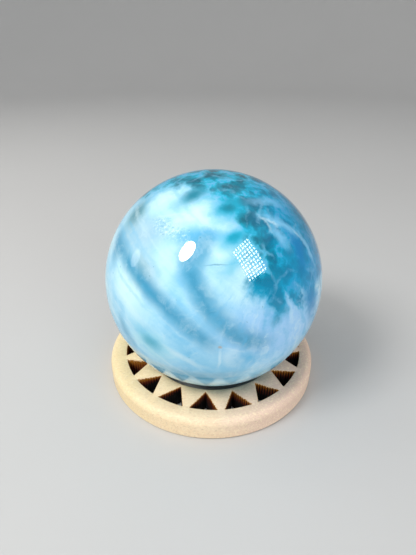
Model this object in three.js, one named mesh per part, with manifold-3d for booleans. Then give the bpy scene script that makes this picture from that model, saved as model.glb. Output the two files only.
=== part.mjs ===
// A polished stone sphere that stands in a thin wooden ring, which keeps it from rolling.
// Triangular cut-outs run right round the ring. Millimetres, +Z up.
// The origin is on the table, under the middle of the ring's rim.
import * as THREE from "three";
import { mergeVertices } from "three/addons/utils/BufferGeometryUtils.js";
import Module from "manifold-3d";

// Driving dimensions, in millimetres and degrees
const sphereDiameter = 60;
const ringDiameter = 62;
const ringThickness = 6;
const holeDiameter = 39.3; // wider than the sphere is at this height, so the sphere reaches the table
const rimRounding = 1.9; // the rim's sanded top edge
const footBreak = 0.3; // the rim's bottom edge, only just broken
const cutOutCount = 18;
const cutOutTipRadius = 20.6; // the corner that points at the sphere
const cutOutBaseRadius = 26.7; // the outer side, which follows the rim
const cutOutSpread = 15.8; // angle that the outer side covers
const cutOutTurn = 5; // direction of the first cut-out, from +X towards +Y
const cutOutShift = 0.5; // the hole and the cut-outs lie this far to +X of the rim's centre

// Fineness of the faceted solids
const sphereSides = 64;
const ringSides = 108;
const roundingSteps = 5;
const baseSteps = 4;
const cutterMargin = 1; // how far a cutter runs past the face it cuts

const wasm = await Module();
wasm.setup();

function solidFrom(geometry) {
  const bare = geometry.clone().deleteAttribute("normal").deleteAttribute("uv");
  const merged = mergeVertices(bare);
  return new wasm.Manifold(
    new wasm.Mesh({
      numProp: 3,
      vertProperties: merged.attributes.position.array,
      triVerts: new Uint32Array(merged.index.array),
    }),
  );
}

function geometryFrom(solid) {
  const mesh = solid.getMesh();
  const geometry = new THREE.BufferGeometry();
  geometry.setAttribute("position", new THREE.BufferAttribute(mesh.vertProperties, 3));
  geometry.setIndex(new THREE.BufferAttribute(mesh.triVerts, 1));
  geometry.computeVertexNormals();
  return geometry;
}

// A lathe turns its profile about Y, so the result is stood up along +Z.
function turned(profile) {
  return new THREE.LatheGeometry(profile, ringSides).rotateX(Math.PI / 2);
}

// The full disc that the ring is cut from: flat below, with its top edge rounded over.
function discGeometry() {
  const radius = ringDiameter / 2;
  const profile = new THREE.Path();
  profile.moveTo(0, 0);
  profile.lineTo(radius - footBreak, 0);
  profile.lineTo(radius, footBreak);
  profile.lineTo(radius, ringThickness - rimRounding);
  profile.absarc(radius - rimRounding, ringThickness - rimRounding, rimRounding, 0, Math.PI / 2);
  profile.lineTo(0, ringThickness);
  return turned(profile.getPoints(roundingSteps));
}

function holeCutter() {
  const height = ringThickness + 2 * cutterMargin;
  const cutter = new THREE.CylinderGeometry(holeDiameter / 2, holeDiameter / 2, height, ringSides);
  return cutter.rotateX(Math.PI / 2).translate(cutOutShift, 0, ringThickness / 2);
}

// One triangular prism, its tip towards the sphere and its outer side bowed along the rim.
function triangleCutter(direction) {
  const half = THREE.MathUtils.degToRad(cutOutSpread / 2);
  const outline = new THREE.Shape();
  outline.moveTo(cutOutTipRadius, 0);
  outline.absarc(0, 0, cutOutBaseRadius, -half, half);
  outline.lineTo(cutOutTipRadius, 0);
  const cutter = new THREE.ExtrudeGeometry(outline, {
    depth: ringThickness + 2 * cutterMargin,
    bevelEnabled: false,
    curveSegments: baseSteps,
  });
  return cutter.rotateZ(direction).translate(cutOutShift, 0, -cutterMargin);
}

function ringGeometry() {
  let ring = solidFrom(discGeometry()).subtract(solidFrom(holeCutter()));
  for (let i = 0; i < cutOutCount; i++) {
    const direction = THREE.MathUtils.degToRad(cutOutTurn + (i * 360) / cutOutCount);
    ring = ring.subtract(solidFrom(triangleCutter(direction)));
  }
  return geometryFrom(ring);
}

function ringStand() {
  const paleWood = new THREE.MeshStandardMaterial({ color: 0xe9d3b0, roughness: 0.6, metalness: 0 });
  const ring = new THREE.Mesh(ringGeometry(), paleWood);
  ring.name = "ring_stand";
  return ring;
}

function stoneSphere() {
  const radius = sphereDiameter / 2;
  const polishedStone = new THREE.MeshStandardMaterial({ color: 0x8fbfdd, roughness: 0.12, metalness: 0 });
  const geometry = new THREE.SphereGeometry(radius, sphereSides, sphereSides / 2).rotateX(Math.PI / 2);
  const sphere = new THREE.Mesh(geometry, polishedStone);
  sphere.name = "stone_sphere";
  sphere.position.set(cutOutShift, 0, radius);
  return sphere;
}

const decorativeSphere = new THREE.Group();
decorativeSphere.add(ringStand());
decorativeSphere.add(stoneSphere());

export default decorativeSphere;
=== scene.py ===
import math
import bpy
import bmesh
from mathutils import Matrix, Vector


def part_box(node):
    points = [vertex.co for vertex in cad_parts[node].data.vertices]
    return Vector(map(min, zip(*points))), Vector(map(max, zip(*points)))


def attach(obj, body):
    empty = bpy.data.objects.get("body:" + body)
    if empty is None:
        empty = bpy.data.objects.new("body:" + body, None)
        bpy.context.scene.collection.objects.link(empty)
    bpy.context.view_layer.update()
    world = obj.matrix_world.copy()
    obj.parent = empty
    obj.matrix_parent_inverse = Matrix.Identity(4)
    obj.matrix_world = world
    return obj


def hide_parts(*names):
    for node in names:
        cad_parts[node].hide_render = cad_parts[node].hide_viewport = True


# A polished stone sphere in a thin wooden ring, which is laser cut, so that its inner walls are burnt.
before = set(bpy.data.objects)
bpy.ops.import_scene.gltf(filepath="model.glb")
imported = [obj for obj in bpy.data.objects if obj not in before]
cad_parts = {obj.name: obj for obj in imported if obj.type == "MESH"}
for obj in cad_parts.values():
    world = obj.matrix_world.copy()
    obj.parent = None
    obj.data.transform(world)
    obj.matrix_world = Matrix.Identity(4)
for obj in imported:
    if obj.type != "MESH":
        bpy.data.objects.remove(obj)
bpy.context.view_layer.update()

mm = 0.001
weld = 0.001 * mm  # points closer than this are one
stoneLow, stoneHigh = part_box("stone_sphere")
ringLow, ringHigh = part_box("ring_stand")
stoneCentre = (stoneLow + stoneHigh) / 2
stoneRadius = (stoneHigh.z - stoneLow.z) / 2
ringThickness = ringHigh.z - ringLow.z
rimRadius = (ringHigh.x - ringLow.x) / 2


def direction(azimuth, elevation):
    # azimuth 0 is the front, -Y, and 90 is the right, +X
    a, e = math.radians(azimuth), math.radians(elevation)
    return Vector((math.cos(e) * math.sin(a), -math.cos(e) * math.cos(a), math.sin(e)))


# Small helpers for node trees

def add(tree, kind, inputs=None, **settings):
    node = tree.nodes.new(kind)
    for name, value in settings.items():
        setattr(node, name, value)
    for name, value in (inputs or {}).items():
        if isinstance(value, bpy.types.NodeSocket):
            tree.links.new(value, node.inputs[name])
        else:
            node.inputs[name].default_value = value
    return node


def calc(tree, operation, *values, clamp=False):
    node = add(tree, "ShaderNodeMath", dict(enumerate(values)), operation=operation, use_clamp=clamp)
    return node.outputs[0]


def times(tree, first, second):
    return calc(tree, "MULTIPLY", first, second)


def centred(tree, value, amount):
    return times(tree, calc(tree, "SUBTRACT", value, 0.5), amount)


def vectorCalc(tree, operation, *values):
    node = add(tree, "ShaderNodeVectorMath", dict(enumerate(values)), operation=operation)
    scalar = operation in ("DOT_PRODUCT", "LENGTH", "DISTANCE")
    return node.outputs["Value" if scalar else "Vector"]


def scaled(tree, vector, factor):
    node = add(tree, "ShaderNodeVectorMath", {0: vector, "Scale": factor}, operation="SCALE")
    return node.outputs["Vector"]


def pushed(tree, vector, push, amount):
    return vectorCalc(tree, "ADD", vector, scaled(tree, push, amount))


def alongAxis(tree, vector, axis):
    return vectorCalc(tree, "DOT_PRODUCT", vector, axis)


def vectorOf(tree, **parts):
    return add(tree, "ShaderNodeCombineXYZ", parts).outputs[0]


def partsOf(tree, vector):
    return add(tree, "ShaderNodeSeparateXYZ", {"Vector": vector}).outputs


def fade(tree, value, start, end):
    # 0 at start, 1 at end, smooth between them and never beyond, so it needs no clamp
    sockets = {"Value": value, "From Min": start, "From Max": end}
    node = add(tree, "ShaderNodeMapRange", sockets, interpolation_type="SMOOTHSTEP", clamp=False)
    return node.outputs["Result"]


def noise(tree, vector, scale, detail=2.0, roughness=0.5, distortion=0.0, output="Fac"):
    node = add(tree, "ShaderNodeTexNoise", {
        "Vector": vector, "Scale": scale, "Detail": detail, "Roughness": roughness,
        "Distortion": distortion})
    return node.outputs[output]


def cellPattern(tree, vector, scale, feature="F1"):
    return add(tree, "ShaderNodeTexVoronoi", {"Vector": vector, "Scale": scale}, feature=feature).outputs


def redOf(tree, colour):
    return add(tree, "ShaderNodeSeparateColor", {"Color": colour}).outputs["Red"]


def drift(tree, vector, scale, detail=2.0, roughness=0.5):
    # noise as a vector, from -0.5 to 0.5 each way
    wander = noise(tree, vector, scale, detail, roughness, output="Color")
    parts = add(tree, "ShaderNodeSeparateColor", {"Color": wander}).outputs
    joined = vectorOf(tree, X=parts["Red"], Y=parts["Green"], Z=parts["Blue"])
    return vectorCalc(tree, "SUBTRACT", joined, (0.5, 0.5, 0.5))


def mixed(tree, factor, first, second):
    # the node keeps its colours at inputs 6 and 7 and gives the mixed one at output 2
    node = add(tree, "ShaderNodeMix", data_type="RGBA")
    for place, value in (("Factor", factor), (6, first), (7, second)):
        if isinstance(value, bpy.types.NodeSocket):
            tree.links.new(value, node.inputs[place])
        else:
            node.inputs[place].default_value = value if place == "Factor" else (*value, 1.0)
    return node.outputs[2]


def ramp(tree, factor, stops):
    node = add(tree, "ShaderNodeValToRGB", {"Fac": factor})
    points = node.color_ramp.elements
    while len(points) < len(stops):
        points.new(0.5)
    for point, (place, colour) in zip(points, stops):
        point.position = place
        point.color = (*colour, 1.0)
    return node.outputs["Color"]


def newMaterial(name):
    material = bpy.data.materials.new(name)
    material.use_nodes = True
    tree = material.node_tree
    return material, tree, tree.nodes["Principled BSDF"]


def dress(tree, shader, colour, rough, height, strength, distance):
    # gives a surface its colour, its roughness and a fine relief
    bump = add(tree, "ShaderNodeBump", {"Height": height, "Strength": strength, "Distance": distance})
    tree.links.new(colour, shader.inputs["Base Color"])
    tree.links.new(rough, shader.inputs["Roughness"])
    tree.links.new(bump.outputs[0], shader.inputs["Normal"])


def linked(name, data):
    piece = bpy.data.objects.new(name, data)
    bpy.context.scene.collection.objects.link(piece)
    return piece


def turnedMesh(name, profile, sides):
    # the side wall that a profile of radii and heights sweeps round the z axis
    points = []
    for radius, z in profile:
        for side in range(sides):
            turn = 2 * math.pi * side / sides
            points.append((radius * math.cos(turn), radius * math.sin(turn), z))
    faces = []
    for row in range(len(profile) - 1):
        for side in range(sides):
            after = (side + 1) % sides
            faces.append((row * sides + side, row * sides + after,
                          (row + 1) * sides + after, (row + 1) * sides + side))
    mesh = bpy.data.meshes.new(name)
    mesh.from_pydata(points, [], faces)
    return mesh


# The stone

# colours, then the scales of the pattern in cycles to a radius, how far it drifts in radii,
# how strongly its layers show, and last the finish and the form
stoneLook = {
    "sky": (0.20, 0.55, 0.80),
    "pale": (0.40, 0.73, 0.90),
    "white": (0.60, 0.88, 0.92),
    "foam": (0.66, 0.86, 0.93),
    "lavender": (0.34, 0.60, 0.90),
    "nook": (0.10, 0.46, 0.74),
    "bandBlue": (0.045, 0.30, 0.49),
    "cyan": (0.01, 0.44, 0.66),
    "turquoise": (0.00, 0.31, 0.45),
    "teal": (0.00, 0.20, 0.29),
    "deepTeal": (0.00, 0.12, 0.18),
    "deepBlue": (0.00, 0.22, 0.50),
    "featherBlue": (0.00, 0.34, 0.64),
    "greenGrey": (0.10, 0.28, 0.34),
    "greyLilac": (0.38, 0.60, 0.72),
    "veil": (0.08, 0.42, 0.68),
    "paleVeil": (0.24, 0.58, 0.84),
    "hairGrey": (0.10, 0.30, 0.44),
    "pitBrown": (0.42, 0.38, 0.33),
    "speck": (0.04, 0.22, 0.30),
    "slowScale": 1.7,
    "quickScale": 7.0,
    "cloudScale": 2.4,
    "bandPatchScale": 7.0,
    "mottleScale": 9.0,
    "growthLayers": 16.0,
    "growthLength": 1.2,
    "fibreScale": 3.8,
    "silkScale": 7.0,
    "spotScale": 7.5,
    "smallSpotScale": 17.0,
    "frayScale": 14.0,
    "tealMottleScale": 5.5,
    "tealSpeckleScale": 26.0,
    "netScale": 5.0,
    "wispScale": 6.0,
    "speckScale": 11.0,
    "gritScale": 50.0,
    "smudgeScale": 3.0,
    "steadyDrift": 0.02,
    "bandDrift": 0.03,
    "flawDrift": 0.035,
    "slowDrift": 0.05,
    "frayDrift": 0.05,
    "cloudyDrift": 0.08,
    "raggedDrift": 0.15,
    "silkDrift": 0.25,
    "fibreDrift": 0.32,
    "growthDrift": 0.9,
    "feathering": 0.75,
    "bandSteady": 0.85,
    "bandPatchy": 0.2,
    "mottleFoam": 0.22,
    "mottleShade": 0.18,
    "growthFoam": 0.32,
    "growthShade": 0.28,
    "silkFoam": 0.45,
    "silkShade": 0.5,
    "smallSpots": 0.3,
    "tealMottle": 0.8,
    "tealSpeckle": 0.9,
    "lowBlueing": 0.45,
    # the far right's blue is partly painted dark reflection at the right edge
    "sideBlueingAndReflection": 0.5,
    "netStrength": 0.32,
    "speckStrength": 0.5,
    "gritShade": 0.5,
    "smudge": 0.12,
    "polish": 0.012,
    "wornPolish": 0.16,
    "ior": 1.55,
    "gritBump": 0.5,
    "gritDepth": 0.08 * mm,
    "evenGrit": 0.002,
    "waviness": 0.006 * mm,
    "waveScale": 1.6,
    "waveSeed": 0,
    "sides": 121,
}

# soft clouds and shades: azimuth, elevation, long and short radius and turn in degrees,
# then softness, colour and strength
stoneClouds = {
    "lavenderField": (32, 2, 50, 28, -13, 0.8, "lavender", 0.9),
    # painted shade low on the stone, where it faces down
    "lowPaintedShade": (-14, -20, 34, 16, 0, 0.9, "sky", 0.7),
    "betweenBands": (-3, 12, 17, 8, -43, 0.9, "sky", 0.4),
    "leftShade": (-66, 47, 17, 12, -43, 0.9, "greenGrey", 1.0),
    "leftDark": (-66, 30, 14, 8, -60, 0.9, "bandBlue", 0.85),
    "greyZone": (-48, 42, 27, 15, 30, 0.9, "greyLilac", 1.0),
    "highCloud": (-55, 61, 15, 9, 80, 0.9, "white", 0.8),
    "middleCloud": (-14, 58, 17, 7, 30, 0.9, "white", 0.75),
    "cloudTail": (16, 55, 11, 5, 32, 0.9, "white", 0.7),
    "cloudBelow": (-24, 32, 24, 8, 84, 0.9, "white", 0.6),
    "bandShade": (-34, 28, 20, 9, -50, 0.9, "greyLilac", 0.9),
    "lowerCloud": (-45, 16, 22, 12, -33, 0.9, "white", 0.85),
    "paleCentre": (10, 29, 17, 9, -70, 0.9, "white", 0.8),
    "nook": (-9, 48, 19, 6, 8, 0.9, "nook", 0.9),
    "innerStart": (-6, 42, 13, 7, 75, 0.9, "bandBlue", 0.75),
    "bandHead": (-38, 27, 14, 7, -50, 0.9, "greenGrey", 0.45),
    # painted shade along the lower left edge
    "leftEdgePaintedShade": (-46, -6, 14, 5, -62, 0.9, "bandBlue", 0.6),
    # the next two are painted shade low on the stone, where it faces down
    "lowBluePaintedShade": (17, -11, 18, 7, 5, 0.9, "nook", 0.6),
    "bottomPaintedShade": (-6, -23, 34, 8, 0, 0.9, "bandBlue", 0.6),
    "lowWisp": (-14, -9, 18, 3, -30, 0.9, "foam", 0.5),
    "fissurePatch": (9, -9, 10, 6, -65, 0.6, "foam", 0.35),
}

# separate stains with soft round edges
stoneSpots = {
    "highStreak": (-27, 68, 15, 7, 64, 1.0, "turquoise", 0.7),
    "highStreakCore": (-27, 69, 8, 5, 64, 0.9, "teal", 0.9),
    "cyanPatch": (13, 62, 12, 8, 16, 1.0, "cyan", 1.0),
    "cyanCore": (14, 62, 8, 5, 16, 0.9, "turquoise", 1.0),
    "cyanHeart": (13, 62, 5, 4, 16, 0.9, "teal", 1.0),
    "smallCyan": (19, 66, 6, 3, 0, 1.0, "turquoise", 0.9),
    "lowCyan": (13, 47, 11, 6, 20, 1.0, "cyan", 1.0),
    "lowCyanCore": (13, 47, 5, 3, 20, 0.9, "turquoise", 0.8),
    "hairCyan": (10, 36, 13, 6, 61, 1.0, "cyan", 0.6),
    "lowStain": (-30, -3, 16, 10, -33, 1.0, "cyan", 0.55),
    "lowCore": (-29, -4, 8, 5, -27, 1.0, "turquoise", 0.6),
    "stainBelow": (15, -8, 7, 4, -44, 0.9, "nook", 0.6),
}

tealSide = (0.75, 0.66, 0.06)  # the teal fills the stone on this side
backTop = direction(180, 45)
# the teal turns deep blue towards here, partly painted dark reflection at the right edge
blueSideAndReflection = direction(75, 35)
growthSide = direction(-60, 20)
silkSide = direction(48, 4)
fibreSource = direction(28, 38)  # the fibres spread from here
wornPatch = (-31, 49, 14, 6, -10)

# how far the teal reaches past its side: azimuth, elevation, long and short radius and turn in degrees
tealReaches = {
    "middle": (25, 53, 13, 10, -60),
    "feather": (38, 25, 24, 14, -20),
    "firstFeather": (24, 26, 13, 10, 10),
    "secondFeather": (31, 17, 16, 10, -85),
    "side": (54, 12, 18, 11, -80),
}

# the darkest spots of the teal, with their depth at the end
tealHearts = {
    "rim": (-61, 77, 14, 6, 0, 0.6),
    "top": (11, 87, 10, 6, 0, 0.5),
    "high": (44, 74, 8, 5, 0, 0.5),
    "upper": (43, 62, 8, 6, 0, 0.8),
    "middle": (26, 55, 8, 7, 0, 1.0),
    "next": (33, 50, 6, 5, 0, 0.6),
    "lower": (31, 43, 9, 6, -70, 0.8),
    "firstFeather": (24, 26, 8, 6, 10, 0.9),
    "secondFeather": (30, 19, 10, 6, -85, 1.0),
    "thirdFeather": (37, 26, 8, 6, 40, 0.5),
    "fourthFeather": (48, 25, 9, 5, -80, 0.5),
    "sideFeather": (47, 12, 10, 4, -80, 0.5),
}

# blue and pale veils over the teal, and painted dark reflection at the right edge
stoneVeils = {
    # painted dark reflection along the right edge, not a veil of the stone
    "rightEdgePaintedReflection": (96, 42, 34, 24, 30, 1.0, "deepTeal", 0.55),
    "bluePatch": (53, 34, 12, 6, -100, 0.9, "deepBlue", 1.0),
    "innerVeil": (43, 43, 11, 4, -80, 0.9, "paleVeil", 0.8),
    "longVeil": (50, 48, 16, 4, -45, 0.9, "paleVeil", 0.8),
    "upperVeil": (54, 60, 14, 4, -30, 0.9, "paleVeil", 0.5),
    "rightVeil": (62, 31, 14, 2.5, -85, 0.9, "paleVeil", 0.8),
    # partly the stone's deep blue and partly painted dark reflection at the lower right edge
    "rightBlueAndPaintedReflection": (54, 7, 15, 7, -75, 0.9, "deepBlue", 0.7),
    "veilLine": (43, 50, 8, 1.6, -42, 1.0, "foam", 0.5),
    "lowVeilLine": (58, 41, 7, 1.4, -70, 1.0, "foam", 0.35),
    "crossVeilLine": (38, 50, 9, 1.3, -80, 1.0, "foam", 0.35),
}

# thin lines and pits
stoneFlaws = {
    "fissure": (3, -8, 9, 1.1, 88, 1.0, "foam", 0.55),
    "fissureTurn": (9, -3, 8, 1.1, -20, 1.0, "foam", 0.3),
    "hairline": (1, 35.6, 7, 0.45, 3, 0.9, "hairGrey", 0.7),
    "highCrack": (-35, 55, 12, 1.1, 24, 1.0, "foam", 0.3),
    "growthLine": (-43, 51, 9, 0.8, 14, 1.0, "hairGrey", 0.15),
    "fissurePit": (3, -1, 1.3, 1.0, 0, 0.8, "pitBrown", 0.9),
}

# pits that are cut into the surface: azimuth and elevation in degrees, radius and depth in millimetres
stonePits = {
    "fissurePit": (3, -1, 0.9, 0.14),
    "roughPit": (-34, 48.5, 0.9, 0.10),
    "secondRoughPit": (-27, 47.5, 0.8, 0.08),
    "lowPit": (-13, -14, 0.7, 0.06),
    "backPit": (152, 20, 0.9, 0.10),
}

# a soft band lies where a plane cuts the sphere: the plane's direction, its height in radii, its half width,
# then the middle of the stretch that shows, its reach in degrees and its strength
stoneBands = {
    "longBand": (direction(-79.8, -49.9), 0.118, 0.120, (-31, 20), 46, 0.9),
    "innerBand": (direction(-134.6, -37.8), -0.697, 0.105, (0, 16), 37, 0.9),
    "backBand": (direction(120, -40), 0.30, 0.15, (150, -10), 60, 0.6),
    "lowBackBand": (direction(-150, 30), -0.25, 0.12, (-150, -30), 50, 0.6),
}


def ellipseDistance(tree, space, azimuth, elevation, longRadius, shortRadius, turn):
    # 0 at the middle of an ellipse on the sphere, 1 at its edge
    outward = direction(azimuth, elevation)
    east = Vector((math.cos(math.radians(azimuth)), math.sin(math.radians(azimuth)), 0))
    north = outward.cross(east)
    longAxis = math.cos(math.radians(turn)) * east + math.sin(math.radians(turn)) * north
    shortAxis = outward.cross(longAxis)
    axes = Matrix((longAxis, shortAxis, outward)).transposed()
    size = [math.radians(angle) for angle in (longRadius, shortRadius, max(longRadius, shortRadius))]
    placed = add(tree, "ShaderNodeMapping", {
        "Vector": space, "Location": outward, "Rotation": axes.to_euler(), "Scale": size},
        vector_type="TEXTURE")
    return vectorCalc(tree, "LENGTH", placed.outputs[0])


def spokeFibres(tree, unit, density, stretch, push):
    # noise drawn out along the lines that spread from the fibres' source
    along = alongAxis(tree, unit, fibreSource)
    across = vectorCalc(tree, "SUBTRACT", unit, scaled(tree, fibreSource, along))
    reach = vectorCalc(tree, "LENGTH", across)
    lift = scaled(tree, fibreSource, times(tree, reach, stretch))
    space = vectorCalc(tree, "ADD", vectorCalc(tree, "NORMALIZE", across), lift)
    return noise(tree, vectorCalc(tree, "ADD", space, push), density, 3, 0.5)


def tinted(tree, colour, name, mask, strength):
    # lays one of the stone's colours over the rest
    return mixed(tree, times(tree, mask, strength), colour, stoneLook[name])


def paintSpots(tree, colour, space, spots, fray=None):
    for azimuth, elevation, longRadius, shortRadius, turn, softness, name, strength in spots.values():
        away = ellipseDistance(tree, space, azimuth, elevation, longRadius, shortRadius, turn)
        if fray:
            away = calc(tree, "SUBTRACT", away, fray)
        colour = tinted(tree, colour, name, fade(tree, away, 1.0, 1.0 - softness), strength)
    return colour


def paintBands(tree, colour, space, ragged):
    # their strength wanders a little, so that they look grown
    look = stoneLook
    patchy = fade(tree, noise(tree, ragged, look["bandPatchScale"], 5, 0.6), 0.30, 0.62)
    patchy = calc(tree, "MULTIPLY_ADD", patchy, look["bandPatchy"], look["bandSteady"])
    for axis, height, halfWidth, middle, reach, strength in stoneBands.values():
        away = calc(tree, "SUBTRACT", alongAxis(tree, space, axis), height)
        band = fade(tree, calc(tree, "ABSOLUTE", away), halfWidth, 0.0)
        facing = alongAxis(tree, space, direction(*middle))
        outer, inner = math.cos(math.radians(reach)), math.cos(math.radians(reach * 0.6))
        band = times(tree, band, fade(tree, facing, outer, inner))
        colour = tinted(tree, colour, "bandBlue", times(tree, band, patchy), strength)
    return colour


def paintMottle(tree, colour, ragged):
    # a fine curdled grain all over
    look = stoneLook
    grain = noise(tree, ragged, look["mottleScale"], 6, 0.62, 0.4)
    colour = tinted(tree, colour, "foam", fade(tree, grain, 0.50, 0.72), look["mottleFoam"])
    return tinted(tree, colour, "nook", fade(tree, grain, 0.50, 0.28), look["mottleShade"])


def paintGrowth(tree, colour, unit, quick):
    # faint layers that follow the long band, strongest on the left
    look = stoneLook
    axis = stoneBands["longBand"][0]
    height = alongAxis(tree, unit, axis)
    flat = vectorCalc(tree, "SUBTRACT", unit, scaled(tree, axis, height))
    raised = scaled(tree, axis, times(tree, height, look["growthLayers"]))
    space = vectorCalc(tree, "ADD", scaled(tree, flat, look["growthLength"]), raised)
    layers = noise(tree, pushed(tree, space, quick, look["growthDrift"]), 1.0, 1, 0.5)
    left = fade(tree, alongAxis(tree, unit, growthSide), 0.1, 0.8)
    pale = times(tree, fade(tree, layers, 0.52, 0.75), left)
    dark = times(tree, fade(tree, layers, 0.48, 0.25), left)
    colour = tinted(tree, colour, "foam", pale, look["growthFoam"])
    return tinted(tree, colour, "nook", dark, look["growthShade"])


def paintSilk(tree, colour, unit, drifted, quick):
    # silky fibres fan out below the teal
    look = stoneLook
    field = fade(tree, alongAxis(tree, drifted, silkSide), 0.45, 0.95)
    threads = spokeFibres(tree, unit, look["silkScale"], 0.25, scaled(tree, quick, look["silkDrift"]))
    pale = times(tree, fade(tree, threads, 0.50, 0.72), field)
    dark = times(tree, fade(tree, threads, 0.48, 0.28), field)
    colour = tinted(tree, colour, "foam", pale, look["silkFoam"])
    return tinted(tree, colour, "nook", dark, look["silkShade"])


def tealCrowd(tree, ragged, cloudy, height, feather):
    # 1 where the teal fills the stone: the far right side, the back of the top and the reaches
    sideMask = fade(tree, alongAxis(tree, cloudy, tealSide), -0.42, -0.05)
    heightMask = fade(tree, calc(tree, "ADD", height, feather), 0.02, 0.32)
    crowd = times(tree, sideMask, heightMask)
    crowd = calc(tree, "MAXIMUM", crowd, fade(tree, alongAxis(tree, cloudy, backTop), 0.40, 0.72))
    fray = times(tree, feather, 0.7)
    for reach in tealReaches.values():
        away = calc(tree, "SUBTRACT", ellipseDistance(tree, ragged, *reach), fray)
        crowd = calc(tree, "MAXIMUM", crowd, fade(tree, away, 1.0, 0.1))
    return crowd


def tealDepth(tree, frayed, ragged, cloudy, feather):
    # soft dark spots, large and small, that crowd together
    look = stoneLook
    cells = cellPattern(tree, frayed, look["spotScale"])
    deepness = calc(tree, "MULTIPLY_ADD", redOf(tree, cells["Color"]), 0.7, 0.3)
    spot = times(tree, fade(tree, cells["Distance"], 0.70, 0.05), deepness)
    grain = fade(tree, cellPattern(tree, frayed, look["smallSpotScale"])["Distance"], 0.70, 0.10)
    mottle = centred(tree, noise(tree, cloudy, look["tealMottleScale"], 4, 0.55), look["tealMottle"])
    speckle = centred(tree, noise(tree, ragged, look["tealSpeckleScale"], 3, 0.6), look["tealSpeckle"])
    depth = calc(tree, "MULTIPLY_ADD", grain, look["smallSpots"], spot)
    depth = calc(tree, "ADD", depth, calc(tree, "ADD", mottle, speckle))
    for *ellipse, deeper in tealHearts.values():
        away = calc(tree, "SUBTRACT", ellipseDistance(tree, cloudy, *ellipse), feather)
        depth = calc(tree, "MULTIPLY_ADD", fade(tree, away, 1.0, 0.1), deeper, depth)
    return depth


def tealTone(tree, depth, crowd, ragged, height):
    # from a thin veil to the deepest teal, bluer low down, and bluer on the far right: partly the stone's
    # colour and partly painted dark reflection at the right edge
    look = stoneLook
    shown = times(tree, depth, calc(tree, "MULTIPLY_ADD", crowd, 0.65, 0.30))
    tone = ramp(tree, shown, [
        (0.00, look["veil"]), (0.12, look["cyan"]), (0.30, look["turquoise"]),
        (0.58, look["teal"]), (0.95, look["deepTeal"])])
    tone = tinted(tree, tone, "featherBlue", fade(tree, height, 0.62, 0.35), look["lowBlueing"])
    # partly the stone's blue, partly painted dark reflection at the right edge
    farRightAndReflection = fade(tree, alongAxis(tree, ragged, blueSideAndReflection), 0.72, 0.98)
    return tinted(tree, tone, "deepBlue", farRightAndReflection, look["sideBlueingAndReflection"])


def paintTeal(tree, colour, ragged, cloudy, feather):
    look = stoneLook
    height = alongAxis(tree, ragged, (0.0, 0.0, 1.0))
    crowd = tealCrowd(tree, ragged, cloudy, height, feather)
    frayed = pushed(tree, cloudy, drift(tree, cloudy, look["frayScale"], 3), look["frayDrift"])
    depth = tealDepth(tree, frayed, ragged, cloudy, feather)

    # a deep spot shows further out at the teal's edge than a shallow one
    edge = calc(tree, "MULTIPLY_ADD", calc(tree, "SUBTRACT", depth, 0.35), 0.3, crowd)
    there = times(tree, fade(tree, edge, -0.05, 0.95), fade(tree, crowd, 0.0, 0.12))
    colour = mixed(tree, there, colour, tealTone(tree, depth, crowd, ragged, height))

    # a pale net between the spots
    edges = cellPattern(tree, frayed, look["netScale"], "DISTANCE_TO_EDGE")["Distance"]
    wisps = fade(tree, noise(tree, ragged, look["wispScale"], 4, 0.65), 0.42, 0.62)
    net = times(tree, fade(tree, edges, 0.11, 0.0), times(tree, wisps, fade(tree, crowd, 0.02, 0.4)))
    return tinted(tree, colour, "paleVeil", net, look["netStrength"])


def paintSpecks(tree, colour, ragged):
    # tiny dark specks in about a quarter of the cells
    look = stoneLook
    cells = cellPattern(tree, ragged, look["speckScale"])
    chosen = fade(tree, redOf(tree, cells["Color"]), 0.72, 0.80)
    speck = times(tree, fade(tree, cells["Distance"], 0.11, 0.03), chosen)
    return tinted(tree, colour, "speck", speck, look["speckStrength"])


def polishSurface(tree, shader, colour, unit, cloudy):
    # the polish is worn and finely pitted in one patch, and a little smudged all over
    look = stoneLook
    patch = fade(tree, ellipseDistance(tree, cloudy, *wornPatch), 1.0, 0.2)
    grit = noise(tree, unit, look["gritScale"], 3, 0.65)
    colour = mixed(tree, times(tree, patch, fade(tree, grit, 0.50, 0.70)), colour, look["foam"])
    dark = times(tree, patch, fade(tree, grit, 0.48, 0.30))
    colour = tinted(tree, colour, "hairGrey", dark, look["gritShade"])
    smudge = fade(tree, noise(tree, unit, look["smudgeScale"], 4, 0.6), 0.5, 0.8)
    worn = times(tree, patch, fade(tree, grit, 0.45, 0.65))
    worn = calc(tree, "MULTIPLY_ADD", smudge, look["smudge"], worn, clamp=True)
    rough = calc(tree, "MULTIPLY_ADD", worn, look["wornPolish"] - look["polish"], look["polish"])
    height = times(tree, grit, calc(tree, "ADD", patch, look["evenGrit"]))
    dress(tree, shader, colour, rough, height, look["gritBump"], look["gritDepth"])
    shader.inputs["IOR"].default_value = look["ior"]


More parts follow.
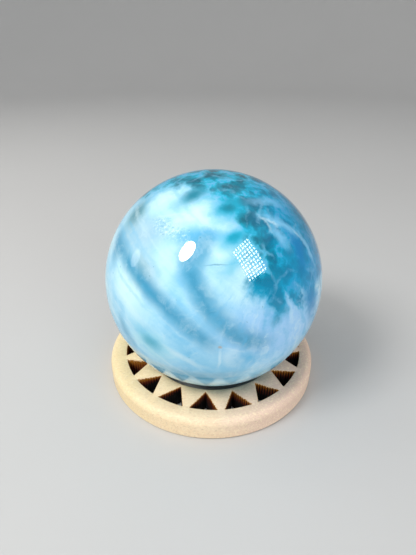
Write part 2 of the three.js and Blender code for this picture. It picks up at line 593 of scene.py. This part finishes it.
def polishedStone():
    material, tree, shader = newMaterial("polishedStone")
    look = stoneLook
    place = add(tree, "ShaderNodeTexCoord").outputs["Object"]
    unit = scaled(tree, vectorCalc(tree, "SUBTRACT", place, stoneCentre), 1 / stoneRadius)

    # slow and quick drift, so that nothing follows a clean circle
    slow = drift(tree, unit, look["slowScale"])
    quick = drift(tree, unit, look["quickScale"], 5, 0.6)
    drifted = pushed(tree, unit, slow, look["slowDrift"])
    cloudy = pushed(tree, drifted, quick, look["cloudyDrift"])
    ragged = pushed(tree, drifted, quick, look["raggedDrift"])
    steady = pushed(tree, unit, slow, look["steadyDrift"])
    banded = pushed(tree, steady, quick, look["bandDrift"])
    fibres = spokeFibres(tree, unit, look["fibreScale"], 0.4, scaled(tree, quick, look["fibreDrift"]))
    feather = centred(tree, fibres, look["feathering"])

    cloud = noise(tree, ragged, look["cloudScale"], 5, 0.55)
    colour = ramp(tree, cloud, [(0.30, look["sky"]), (0.52, look["pale"]), (0.72, look["white"])])
    colour = paintSpots(tree, colour, cloudy, stoneClouds)
    colour = paintGrowth(tree, colour, unit, quick)
    colour = paintBands(tree, colour, banded, ragged)
    colour = paintMottle(tree, colour, ragged)
    colour = paintSilk(tree, colour, unit, drifted, quick)
    colour = paintTeal(tree, colour, ragged, cloudy, feather)
    colour = paintSpots(tree, colour, cloudy, stoneSpots, centred(tree, cloud, 0.6))
    colour = paintSpots(tree, colour, ragged, stoneVeils, centred(tree, cloud, 0.8))
    colour = paintSpecks(tree, colour, ragged)
    colour = paintSpots(tree, colour, pushed(tree, unit, quick, look["flawDrift"]), stoneFlaws)
    polishSurface(tree, shader, colour, unit, cloudy)
    return material


def stoneTree():
    # a cube's grid swollen to a ball, so that the faces are nearly even and it has no poles
    tree = bpy.data.node_groups.new("stoneTree", "GeometryNodeTree")
    face = tree.interface
    for name, kind in (("Radius", "Float"), ("Centre", "Vector"), ("Sides", "Int"), ("Waviness", "Float"),
                       ("Wave seed", "Int"), ("Stone", "Material")):
        face.new_socket(name=name, in_out="INPUT", socket_type="NodeSocket" + kind)
    face.new_socket(name="Geometry", in_out="OUTPUT", socket_type="NodeSocketGeometry")
    given = add(tree, "NodeGroupInput").outputs
    sides = given["Sides"]
    cube = add(tree, "GeometryNodeMeshCube", {
        "Size": (2.0, 2.0, 2.0), "Vertices X": sides, "Vertices Y": sides, "Vertices Z": sides})
    place = add(tree, "GeometryNodeInputPosition").outputs[0]
    even = vectorCalc(tree, "TANGENT", scaled(tree, place, math.pi / 4))
    unit = vectorCalc(tree, "NORMALIZE", even)

    # hand polishing leaves the surface a little wavy, always inside the true sphere
    seeded = vectorCalc(tree, "ADD", unit, vectorOf(tree, Z=given["Wave seed"]))
    cut = times(tree, noise(tree, seeded, stoneLook["waveScale"], 1), given["Waviness"])
    for azimuth, elevation, radius, depth in stonePits.values():
        away = vectorCalc(tree, "DISTANCE", unit, direction(azimuth, elevation))
        pit = times(tree, fade(tree, away, radius * mm / stoneRadius, 0.0), depth * mm)
        cut = calc(tree, "ADD", cut, pit)
    ball = scaled(tree, unit, calc(tree, "SUBTRACT", given["Radius"], cut))
    moved = add(tree, "GeometryNodeSetPosition", {
        "Geometry": cube.outputs["Mesh"], "Position": vectorCalc(tree, "ADD", ball, given["Centre"])})
    joined = add(tree, "GeometryNodeMergeByDistance", {"Geometry": moved.outputs[0], "Distance": 10 * weld})
    real = add(tree, "GeometryNodeRealizeInstances", {"Geometry": joined.outputs[0]})
    dressed = add(tree, "GeometryNodeSetMaterial", {"Geometry": real.outputs[0], "Material": given["Stone"]})
    add(tree, "NodeGroupOutput", {"Geometry": dressed.outputs[0]})
    return tree


def grown(name, tree, values, mesh=None):
    # runs a geometry tree on a mesh and keeps the result as a plain mesh
    seed = linked(name + "Seed", mesh or bpy.data.meshes.new(name + "Seed"))
    modifier = seed.modifiers.new(name, "NODES")
    modifier.node_group = tree
    for item in tree.interface.items_tree:
        if item.in_out == "INPUT" and item.name in values:
            modifier[item.identifier] = values[item.name]
    seed.update_tag()
    bpy.context.view_layer.update()
    depsgraph = bpy.context.evaluated_depsgraph_get()
    made = bpy.data.meshes.new_from_object(seed.evaluated_get(depsgraph), depsgraph=depsgraph)
    seed.modifiers.clear()
    bpy.data.objects.remove(seed)
    made.name = name
    return linked(name, made)


def finishMesh(piece, sharpDegrees=40):
    # closes the seams, turns the faces outwards and keeps the sharp edges sharp
    form = bmesh.new()
    form.from_mesh(piece.data)
    bmesh.ops.remove_doubles(form, verts=form.verts, dist=weld)
    bmesh.ops.recalc_face_normals(form, faces=form.faces)
    for side in form.faces:
        side.smooth = True
    for edge in form.edges:
        edge.smooth = len(edge.link_faces) == 2 and edge.calc_face_angle() < math.radians(sharpDegrees)
    openEdges = sum(len(edge.link_faces) != 2 for edge in form.edges)
    form.to_mesh(piece.data)
    form.free()
    print(piece.name, "is grown:", len(piece.data.polygons), "faces,", openEdges, "open edges")


def makeStone():
    values = {
        "Radius": stoneRadius, "Centre": stoneCentre, "Sides": stoneLook["sides"],
        "Waviness": stoneLook["waviness"], "Wave seed": stoneLook["waveSeed"], "Stone": polishedStone()}
    piece = grown("stone", stoneTree(), values)
    finishMesh(piece)
    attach(piece, "root")
    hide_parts("stone_sphere")


# The ring

ringSizes = {
    "holeRadius": 19.65 * mm,
    "cutOuts": 18,
    "tipRadius": 20.6 * mm,
    "baseRadius": 26.7 * mm,
    "halfSpread": math.radians(7.9),
    "firstTurn": math.radians(5),
    "rimRounding": 1.9 * mm,
    "footBreak": 0.3 * mm,
    "edgeBreak": 0.12 * mm,
    "kerfTaper": 0.12 * mm,
    "stripePitch": 0.75 * mm,
    "stripeDepth": 0.09 * mm,
    "stripeSteps": 6,
    "stripeSeed": 0,
    "wallRows": 11,
    "rowCrowding": 1.8,
    "rimSides": 256,
    "rimSteps": 12,
}


def rimSurface():
    # the outside of the ring only: its flat faces and its walls are grown later
    sizes = ringSizes
    rounding, foot, steps = sizes["rimRounding"], sizes["footBreak"], sizes["rimSteps"]
    shoulder = ringThickness - rounding
    profile = [(rimRadius - foot, 0), (rimRadius, foot), (rimRadius, (shoulder + foot) / 2)]
    for step in range(steps + 1):
        turn = math.pi / 2 * step / steps
        inward = rounding * (1 - math.cos(turn))
        profile.append((rimRadius - inward, shoulder + rounding * math.sin(turn)))
    return turnedMesh("rim", profile, sizes["rimSides"])


def wallGrid(tree, given, stripes, outline, inward, reach):
    # a burnt wall as a grid: outline gives the place for each step along it, and the scallops stand off that
    grid = add(tree, "GeometryNodeMeshGrid", {
        "Size X": 1.0, "Size Y": 1.0, "Vertices Y": ringSizes["wallRows"],
        "Vertices X": calc(tree, "MULTIPLY_ADD", stripes, ringSizes["stripeSteps"], 1.0)})
    parts = partsOf(tree, grid.outputs["UV Map"])
    along, down = parts["X"], parts["Y"]
    thickness, edgeBreak = given["Thickness"], given["Edge break"]
    depth = times(tree, thickness, calc(tree, "POWER", down, ringSizes["rowCrowding"]))
    stripe = calc(tree, "SINE", times(tree, times(tree, along, math.pi), stripes))
    stripe = calc(tree, "ABSOLUTE", stripe)
    uneven = add(tree, "ShaderNodeTexNoise", {
        "W": calc(tree, "MULTIPLY_ADD", along, stripes, given["Stripe seed"]), "Scale": 0.8, "Detail": 2.0},
        noise_dimensions="1D").outputs["Fac"]
    stripe = times(tree, stripe, calc(tree, "ADD", uneven, 0.3))
    deeper = fade(tree, depth, 0.0, times(tree, thickness, 0.25))
    scallop = times(tree, times(tree, stripe, given["Stripe depth"]), deeper)

    # the top edge is eased, and the cut narrows towards the bottom
    left = calc(tree, "SUBTRACT", 1.0, calc(tree, "DIVIDE", depth, edgeBreak), clamp=True)
    opened = times(tree, edgeBreak, times(tree, left, left))
    closed = times(tree, given["Kerf taper"], calc(tree, "DIVIDE", depth, thickness))
    offset = calc(tree, "ADD", scallop, calc(tree, "SUBTRACT", opened, closed))
    growth = calc(tree, "ADD", 1.0, calc(tree, "DIVIDE", offset, reach))
    middle = vectorOf(tree, X=inward)
    spread = scaled(tree, vectorCalc(tree, "SUBTRACT", outline(along), middle), growth)
    height = vectorOf(tree, Z=calc(tree, "SUBTRACT", thickness, depth))
    place = vectorCalc(tree, "ADD", vectorCalc(tree, "ADD", spread, middle), height)
    marked = add(tree, "GeometryNodeStoreNamedAttribute", {
        "Geometry": grid.outputs["Mesh"], "Name": "stripe", "Value": stripe},
        data_type="FLOAT", domain="POINT")
    moved = add(tree, "GeometryNodeSetPosition", {"Geometry": marked.outputs[0], "Position": place})
    return moved.outputs[0]


def cutOutWall(tree, given):
    # one triangular cut-out, whose outer side follows the rim
    def outline(u):
        # tip, corner, corner, tip: out along one side, across the base, back in along the other
        third = times(tree, u, 3.0)
        out = calc(tree, "ADD", third, 0.0, clamp=True)
        across = calc(tree, "SUBTRACT", third, 1.0, clamp=True)
        back = calc(tree, "SUBTRACT", third, 2.0, clamp=True)
        reached = calc(tree, "SUBTRACT", out, back)
        turn = times(tree, given["Half spread"], calc(tree, "SUBTRACT", 1.0, times(tree, across, 2.0)))
        baseX = times(tree, given["Base radius"], calc(tree, "COSINE", turn))
        baseY = times(tree, given["Base radius"], calc(tree, "SINE", turn))
        length = calc(tree, "SUBTRACT", baseX, given["Tip radius"])
        x = calc(tree, "MULTIPLY_ADD", length, reached, given["Tip radius"])
        return vectorOf(tree, X=x, Y=times(tree, baseY, reached))

    return wallGrid(tree, given, given["Cut-out stripes"], outline, given["Middle"], given["Reach"])


def holeWall(tree, given):
    def outline(u):
        turn = times(tree, u, 2 * math.pi)
        x = times(tree, given["Hole radius"], calc(tree, "COSINE", turn))
        y = times(tree, given["Hole radius"], calc(tree, "SINE", turn))
        return vectorOf(tree, X=x, Y=y)

    return wallGrid(tree, given, given["Hole stripes"], outline, 0.0, given["Hole radius"])


def burntWalls(tree, given):
    # the hole's wall and the cut-outs' walls all round, moved off the rim's middle
    points = add(tree, "GeometryNodePoints", {"Count": given["Cut-outs"]})
    index = add(tree, "GeometryNodeInputIndex").outputs[0]
    step = calc(tree, "DIVIDE", 2 * math.pi, given["Cut-outs"])
    turn = vectorOf(tree, Z=calc(tree, "MULTIPLY_ADD", index, step, given["First turn"]))
    turned = add(tree, "FunctionNodeEulerToRotation", {"Euler": turn})
    copies = add(tree, "GeometryNodeInstanceOnPoints", {
        "Points": points.outputs[0], "Instance": cutOutWall(tree, given), "Rotation": turned.outputs[0]})
    cutOuts = add(tree, "GeometryNodeRealizeInstances", {"Geometry": copies.outputs[0]})
    walls = add(tree, "GeometryNodeJoinGeometry")
    tree.links.new(holeWall(tree, given), walls.inputs[0])
    tree.links.new(cutOuts.outputs[0], walls.inputs[0])
    shifted = add(tree, "GeometryNodeTransform", {
        "Geometry": walls.outputs[0], "Translation": vectorOf(tree, X=given["Shift"])})
    seamed = add(tree, "GeometryNodeMergeByDistance", {
        "Geometry": shifted.outputs[0], "Distance": weld})
    burnt = add(tree, "GeometryNodeStoreNamedAttribute", {
        "Geometry": seamed.outputs[0], "Name": "burnt", "Value": 1.0}, data_type="FLOAT", domain="FACE")
    return burnt.outputs[0]


def compare(tree, operation, first, second, kind="FLOAT"):
    # the node keeps its float sockets first and its whole numbers third and fourth
    start = 2 if kind == "INT" else 0
    sockets = {start: first, start + 1: second}
    return add(tree, "FunctionNodeCompare", sockets, data_type=kind, operation=operation).outputs[0]


def flatFaces(tree, given, shell, whole):
    # the flat faces fill whatever edges of the shell are still open at the top and at the bottom
    faceCount = add(tree, "GeometryNodeInputMeshEdgeNeighbors").outputs[0]
    isOpen = compare(tree, "EQUAL", faceCount, 1, "INT")
    z = partsOf(tree, add(tree, "GeometryNodeInputPosition").outputs[0])["Z"]
    half = times(tree, given["Thickness"], 0.5)
    for side, height in (("GREATER_THAN", given["Thickness"]), ("LESS_THAN", 0.0)):
        isLevel = compare(tree, side, z, half)
        chosen = add(tree, "FunctionNodeBooleanMath", {0: isOpen, 1: isLevel}, operation="AND").outputs[0]
        loops = add(tree, "GeometryNodeMeshToCurve", {"Mesh": shell, "Selection": chosen})
        filled = add(tree, "GeometryNodeFillCurve", {"Curve": loops.outputs[0]}, mode="TRIANGLES")
        level = add(tree, "GeometryNodeTransform", {
            "Geometry": filled.outputs[0], "Translation": vectorOf(tree, Z=height)})
        tree.links.new(level.outputs[0], whole.inputs[0])


def ringTree():
    tree = bpy.data.node_groups.new("ringTree", "GeometryNodeTree")
    face = tree.interface
    face.new_socket(name="Geometry", in_out="INPUT", socket_type="NodeSocketGeometry")
    for name in ("Thickness", "Hole radius", "Tip radius", "Base radius", "Half spread", "First turn",
                 "Shift", "Middle", "Reach", "Edge break", "Kerf taper", "Stripe depth"):
        face.new_socket(name=name, in_out="INPUT", socket_type="NodeSocketFloat")
    for name in ("Cut-outs", "Cut-out stripes", "Hole stripes", "Stripe seed"):
        face.new_socket(name=name, in_out="INPUT", socket_type="NodeSocketInt")
    for name in ("Wood", "Burnt wood"):
        face.new_socket(name=name, in_out="INPUT", socket_type="NodeSocketMaterial")
    face.new_socket(name="Geometry", in_out="OUTPUT", socket_type="NodeSocketGeometry")
    given = add(tree, "NodeGroupInput").outputs
    shell = add(tree, "GeometryNodeJoinGeometry")
    tree.links.new(given["Geometry"], shell.inputs[0])
    tree.links.new(burntWalls(tree, given), shell.inputs[0])
    whole = add(tree, "GeometryNodeJoinGeometry")
    flatFaces(tree, given, shell.outputs[0], whole)
    tree.links.new(shell.outputs[0], whole.inputs[0])
    merged = add(tree, "GeometryNodeMergeByDistance", {"Geometry": whole.outputs[0], "Distance": 2 * weld})
    real = add(tree, "GeometryNodeRealizeInstances", {"Geometry": merged.outputs[0]})
    wood = add(tree, "GeometryNodeSetMaterial", {"Geometry": real.outputs[0], "Material": given["Wood"]})
    burnt = add(tree, "GeometryNodeInputNamedAttribute", {"Name": "burnt"}, data_type="FLOAT").outputs[0]
    dressed = add(tree, "GeometryNodeSetMaterial", {
        "Geometry": wood.outputs[0], "Selection": compare(tree, "GREATER_THAN", burnt, 0.5),
        "Material": given["Burnt wood"]})
    add(tree, "NodeGroupOutput", {"Geometry": dressed.outputs[0]})
    return tree


# colours, then the scales of the grain, how rough the wood is, and how deep the burn's colours reach
woodLook = {
    "dark": (0.66, 0.49, 0.31),
    "middle": (0.90, 0.68, 0.43),
    "pale": (0.95, 0.78, 0.53),
    # the next two colours are partly the wood's own tone and partly painted light: painted shade on the
    # right, painted warm light on the left
    "roseAndPaintedShade": (0.78, 0.53, 0.43),
    "strawAndPaintedLight": (0.86, 0.69, 0.35),
    "smear": (0.96, 0.84, 0.58),
    "amber": (0.46, 0.17, 0.015),
    "scorched": (0.17, 0.024, 0.003),
    # the deepest colour is partly real char and partly painted shade deep in the narrow cuts
    "charredAndShaded": (0.004, 0.002, 0.001),
    "grainStretch": (70.0, 1400.0, 500.0),
    "poreStretch": (900.0, 5000.0, 2500.0),
    "grainBend": 0.004,
    "bendScale": 25.0,
    "mottleScale": 90.0,
    "fleckScale": 1800.0,
    "sootScale": 2200.0,
    "grainBump": 0.3,
    "grainDepth": 0.05 * mm,
    "sootBump": 0.4,
    "sootDepth": 0.06 * mm,
    "roughness": 0.43,
    "charRoughness": 0.72,
    "charGloss": 0.25,
    "amberDepth": 0.9 * mm,
    "stripeDepth": 2.3 * mm,
    # how much deeper the amber reaches on the left: partly the burn, partly painted light from the
    # front-left
    "leftAmberAndLightDepth": 3.0 * mm,
}


def paleWood():
    # rosier and darker on the right and straw yellow on the left, partly the wood's own tone and partly
    # painted shade on the right and painted warm light on the left, with fine dark pores and pale flecks
    material, tree, shader = newMaterial("paleWood")
    look = woodLook
    place = add(tree, "ShaderNodeTexCoord").outputs["Object"]
    bent = pushed(tree, place, noise(tree, place, look["bendScale"], 2, output="Color"), look["grainBend"])
    grain = noise(tree, vectorCalc(tree, "MULTIPLY", bent, look["grainStretch"]), 1.0, 5, 0.65)
    pores = noise(tree, vectorCalc(tree, "MULTIPLY", place, look["poreStretch"]), 1.0, 3, 0.6)
    fleck = noise(tree, place, look["fleckScale"], 3, 0.65)
    mottle = noise(tree, place, look["mottleScale"], 4, 0.6)
    colour = ramp(tree, grain, [(0.22, look["dark"]), (0.48, look["middle"]), (0.75, look["pale"])])
    colour = mixed(tree, 0.55, colour, look["middle"])
    x = calc(tree, "ADD", partsOf(tree, place)["X"], centred(tree, mottle, 20 * mm))
    for mask, strength, name in (
            (fade(tree, mottle, 0.45, 0.75), 0.5, "smear"),
            # the right side is made rosier and darker and the left yellower: partly the wood's tone, partly
            # painted shade and painted warm light
            (fade(tree, x, -10 * mm, 22 * mm), 0.85, "roseAndPaintedShade"),
            (fade(tree, x, -8 * mm, -28 * mm), 0.6, "strawAndPaintedLight"),
            (fade(tree, pores, 0.48, 0.32), 0.7, "dark"),
            (fade(tree, fleck, 0.50, 0.64), 0.6, "pale")):
        colour = mixed(tree, times(tree, mask, strength), colour, look[name])
    height = calc(tree, "ADD", times(tree, grain, 0.6), calc(tree, "ADD", pores, fleck))
    rough = calc(tree, "MULTIPLY_ADD", mottle, 0.25, look["roughness"])
    dress(tree, shader, colour, rough, height, look["grainBump"], look["grainDepth"])
    return material


def burntWood():
    # amber along the top edge, then dark red stripes that run down into the char; the darkening with depth
    # is partly real char and partly painted shade deep in the narrow cuts
    material, tree, shader = newMaterial("burntWood")
    look = woodLook
    place = add(tree, "ShaderNodeTexCoord").outputs["Object"]
    parts = partsOf(tree, place)
    depth = calc(tree, "SUBTRACT", ringThickness, parts["Z"])
    # the amber reaches deeper on the left: partly the burn, partly painted light from the front-left
    leftAmberAndPaintedLight = times(tree, fade(tree, parts["X"], -14 * mm, -22 * mm), look["leftAmberAndLightDepth"])
    stripe = add(tree, "ShaderNodeAttribute", attribute_name="stripe").outputs["Fac"]
    patch = fade(tree, noise(tree, place, look["mottleScale"], 2), 0.42, 0.62)
    soot = noise(tree, place, look["sootScale"], 4, 0.65)
    reach = times(tree, fade(tree, stripe, 0.15, 0.75), look["stripeDepth"])
    reach = times(tree, reach, calc(tree, "MULTIPLY_ADD", patch, 1.5, 0.4))
    reach = calc(tree, "ADD", calc(tree, "ADD", reach, leftAmberAndPaintedLight), look["amberDepth"])
    # darker with depth: partly real char, partly painted shade in the narrow cuts
    burnAndShade = calc(tree, "ADD", calc(tree, "DIVIDE", depth, reach), centred(tree, soot, 0.5))
    colour = ramp(tree, burnAndShade, [
        (0.0, look["middle"]), (0.08, look["amber"]), (0.45, look["scorched"]), (0.95, look["charredAndShaded"])])
    rough = calc(tree, "MULTIPLY_ADD", soot, 0.2, look["charRoughness"])
    dress(tree, shader, colour, rough, soot, look["sootBump"], look["sootDepth"])
    shader.inputs["Specular IOR Level"].default_value = look["charGloss"]
    return material


def makeRing():
    sizes = ringSizes
    tip, base, half = sizes["tipRadius"], sizes["baseRadius"], sizes["halfSpread"]
    baseWidth, baseDistance = 2 * base * math.sin(half), base * math.cos(half)
    sideLength = math.hypot(baseDistance - tip, baseWidth / 2)
    perimeter = 2 * sideLength + baseWidth

    # a cut-out's walls stand off the middle of its inscribed circle
    middle = (baseWidth * tip + 2 * sideLength * baseDistance) / perimeter
    reach = baseWidth * (baseDistance - tip) / perimeter
    values = {
        "Thickness": ringThickness, "Hole radius": sizes["holeRadius"],
        "Tip radius": tip, "Base radius": base, "Half spread": half, "First turn": sizes["firstTurn"],
        "Shift": stoneCentre.x, "Middle": middle, "Reach": reach,
        "Edge break": sizes["edgeBreak"], "Kerf taper": sizes["kerfTaper"],
        "Stripe depth": sizes["stripeDepth"], "Stripe seed": sizes["stripeSeed"],
        "Cut-outs": sizes["cutOuts"],
        "Cut-out stripes": round(perimeter / sizes["stripePitch"]),
        "Hole stripes": round(2 * math.pi * sizes["holeRadius"] / sizes["stripePitch"]),
        "Wood": paleWood(), "Burnt wood": burntWood(),
    }
    piece = grown("ring", ringTree(), values, rimSurface())
    finishMesh(piece)
    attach(piece, "root")
    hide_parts("ring_stand")


# Floor, light and camera

stageLook = {
    "floorColour": (0.55, 0.545, 0.535),
    "floorShade": (0.53, 0.525, 0.515),
    "floorRoughness": 0.52,
    "floorPatchScale": 9.0,
    "floorGritScale": 1500.0,
    "floorBump": 0.2,
    "floorGritDepth": 0.03 * mm,
    "floorRadius": 0.7,
    "floorCurve": 0.5,
    "wallTop": 1.0,
    "floorDrop": 0.1 * mm,
    "floorSides": 96,
    "curveSteps": 12,
    "worldColour": (0.95, 0.97, 1.0),
    "worldStrength": 0.55,
    "lightDistance": 0.6,
    "panelStrength": 18.0,
    "panelCorners": ((62, 56), (27, 51), (36, 20), (59, 24)),
    "panelCells": (7, 10),
    "lens": 26.8,
    "sensorWidth": 36.0,
    "cameraBack": 101.7 * mm,
    "cameraHeight": 89.7 * mm,
    "cameraDip": 30.4,
    "cameraTurn": 0.86,
}

# gloss lights are only mirrored, matt ones only light the surfaces, and the lamp does both
stageLights = {
    "window": dict(place=(-39.5, 49.8), size=(0.125, 0.22), power=2.4, use="gloss", shape="ELLIPSE",
                   turn=-0.12),
    "key": dict(place=(-60, 48), size=(0.2, 0.2), power=2.25, use="matt"),
    "soft": dict(place=(-98, 45), size=(0.4, 0.4), power=0.6, use="matt", colour=(1.0, 0.95, 0.86)),
    "fill": dict(place=(36, 7), size=(0.4, 0.4), power=1.9, use="matt", colour=(0.85, 0.95, 1.0)),
    "sky": dict(place=(0, 80), size=(1.4, 1.4), power=2.4, use="matt", distance=1.0),
    "lamp": dict(place=(-92, 14.5), size=(0.11, 0.15), power=0.10, use="both", shape="ELLIPSE"),
}


def paleFloor():
    material, tree, shader = newMaterial("paleFloor")
    look = stageLook
    place = add(tree, "ShaderNodeTexCoord").outputs["Object"]
    patchy = noise(tree, place, look["floorPatchScale"], 3, 0.55)
    grit = noise(tree, place, look["floorGritScale"], 3, 0.6)
    colour = mixed(tree, patchy, look["floorShade"], look["floorColour"])
    rough = calc(tree, "MULTIPLY_ADD", patchy, 0.15, look["floorRoughness"])
    dress(tree, shader, colour, rough, grit, look["floorBump"], look["floorGritDepth"])
    return material


def makeFloor():
    # a flat floor that curves up into a plain wall all round
    look = stageLook
    flat, curve, steps, drop = look["floorRadius"], look["floorCurve"], look["curveSteps"], look["floorDrop"]
    profile = [(0.0, -drop), (flat, -drop)]
    for step in range(1, steps + 1):
        turn = math.pi / 2 * step / steps
        profile.append((flat + curve * math.sin(turn), curve - curve * math.cos(turn) - drop))
    profile.append((flat + curve, look["wallTop"] - drop))
    mesh = turnedMesh("floor", profile, look["floorSides"])
    form = bmesh.new()
    form.from_mesh(mesh)
    bmesh.ops.remove_doubles(form, verts=form.verts, dist=weld)
    bmesh.ops.reverse_faces(form, faces=form.faces)  # so that they look up and inwards
    for side in form.faces:
        side.smooth = True
    form.to_mesh(mesh)
    form.free()
    mesh.materials.append(paleFloor())
    linked("floor", mesh)
    print("floor is laid")


def areaLight(name, place, size, power, use, shape="RECTANGLE", turn=0.0, colour=(1, 1, 1), distance=None):
    light = bpy.data.lights.new(name, "AREA")
    light.shape = shape
    light.size, light.size_y = size
    light.energy = power
    light.color = colour
    lamp = linked(name, light)
    away = direction(*place)
    facing = away.to_track_quat("Z", "Y").to_matrix().to_4x4()
    spot = stoneCentre + away * (distance or stageLook["lightDistance"])
    lamp.matrix_world = Matrix.Translation(spot) @ facing @ Matrix.Rotation(turn, 4, "Z")
    lamp.visible_camera = False
    lamp.visible_diffuse = use != "gloss"
    lamp.visible_glossy = use != "matt"


def makeLights():
    world = bpy.data.worlds.new("studio")
    bpy.context.scene.world = world
    world.use_nodes = True
    around = world.node_tree.nodes["Background"]
    around.inputs["Color"].default_value = (*stageLook["worldColour"], 1.0)
    around.inputs["Strength"].default_value = stageLook["worldStrength"]
    for name, settings in stageLights.items():
        areaLight(name, **settings)
    print("lights are set:", ", ".join(stageLights))


def wovenPanel():
    # soft light through a woven grid
    material = bpy.data.materials.new("wovenPanel")
    material.use_nodes = True
    tree = material.node_tree
    tree.nodes.clear()
    parts = partsOf(tree, add(tree, "ShaderNodeUVMap", uv_map="weave").outputs["UV"])
    threads = []
    for axis, cells in zip("XY", stageLook["panelCells"]):
        wave = calc(tree, "SINE", times(tree, parts[axis], 2 * math.pi * cells))
        threads.append(fade(tree, wave, -0.5, 0.1))
    power = times(tree, calc(tree, "MINIMUM", *threads), stageLook["panelStrength"])
    glow = add(tree, "ShaderNodeEmission", {"Strength": power})
    add(tree, "ShaderNodeOutputMaterial", {"Surface": glow.outputs[0]})
    return material


def makePanel():
    # seen only where the stone mirrors it
    distance = stageLook["lightDistance"]
    corners = [stoneCentre + direction(*place) * distance for place in stageLook["panelCorners"]]
    mesh = bpy.data.meshes.new("panel")
    mesh.from_pydata(corners, [], [(0, 1, 2, 3)])
    weaveMap = mesh.uv_layers.new(name="weave")
    for loop, place in enumerate(((0, 0), (1, 0), (1, 1), (0, 1))):
        weaveMap.data[loop].uv = place
    mesh.materials.append(wovenPanel())
    panel = linked("panel", mesh)
    panel.visible_camera = panel.visible_diffuse = panel.visible_shadow = False
    print("panel is hung")


def makeCamera():
    look = stageLook
    lens = bpy.data.cameras.new("camera")
    lens.lens = look["lens"]
    lens.sensor_width = look["sensorWidth"]
    lens.clip_start = 5 * mm
    camera = linked("camera", lens)
    camera.location = (stoneCentre.x, -look["cameraBack"], look["cameraHeight"])
    camera.rotation_euler = (math.radians(90 - look["cameraDip"]), 0.0, math.radians(look["cameraTurn"]))
    bpy.context.scene.camera = camera
    print("camera looks down at", look["cameraDip"], "degrees")


makeStone()
makeRing()
makeFloor()
makeLights()
makePanel()
makeCamera()
bpy.context.scene.view_settings.view_transform = "Standard"
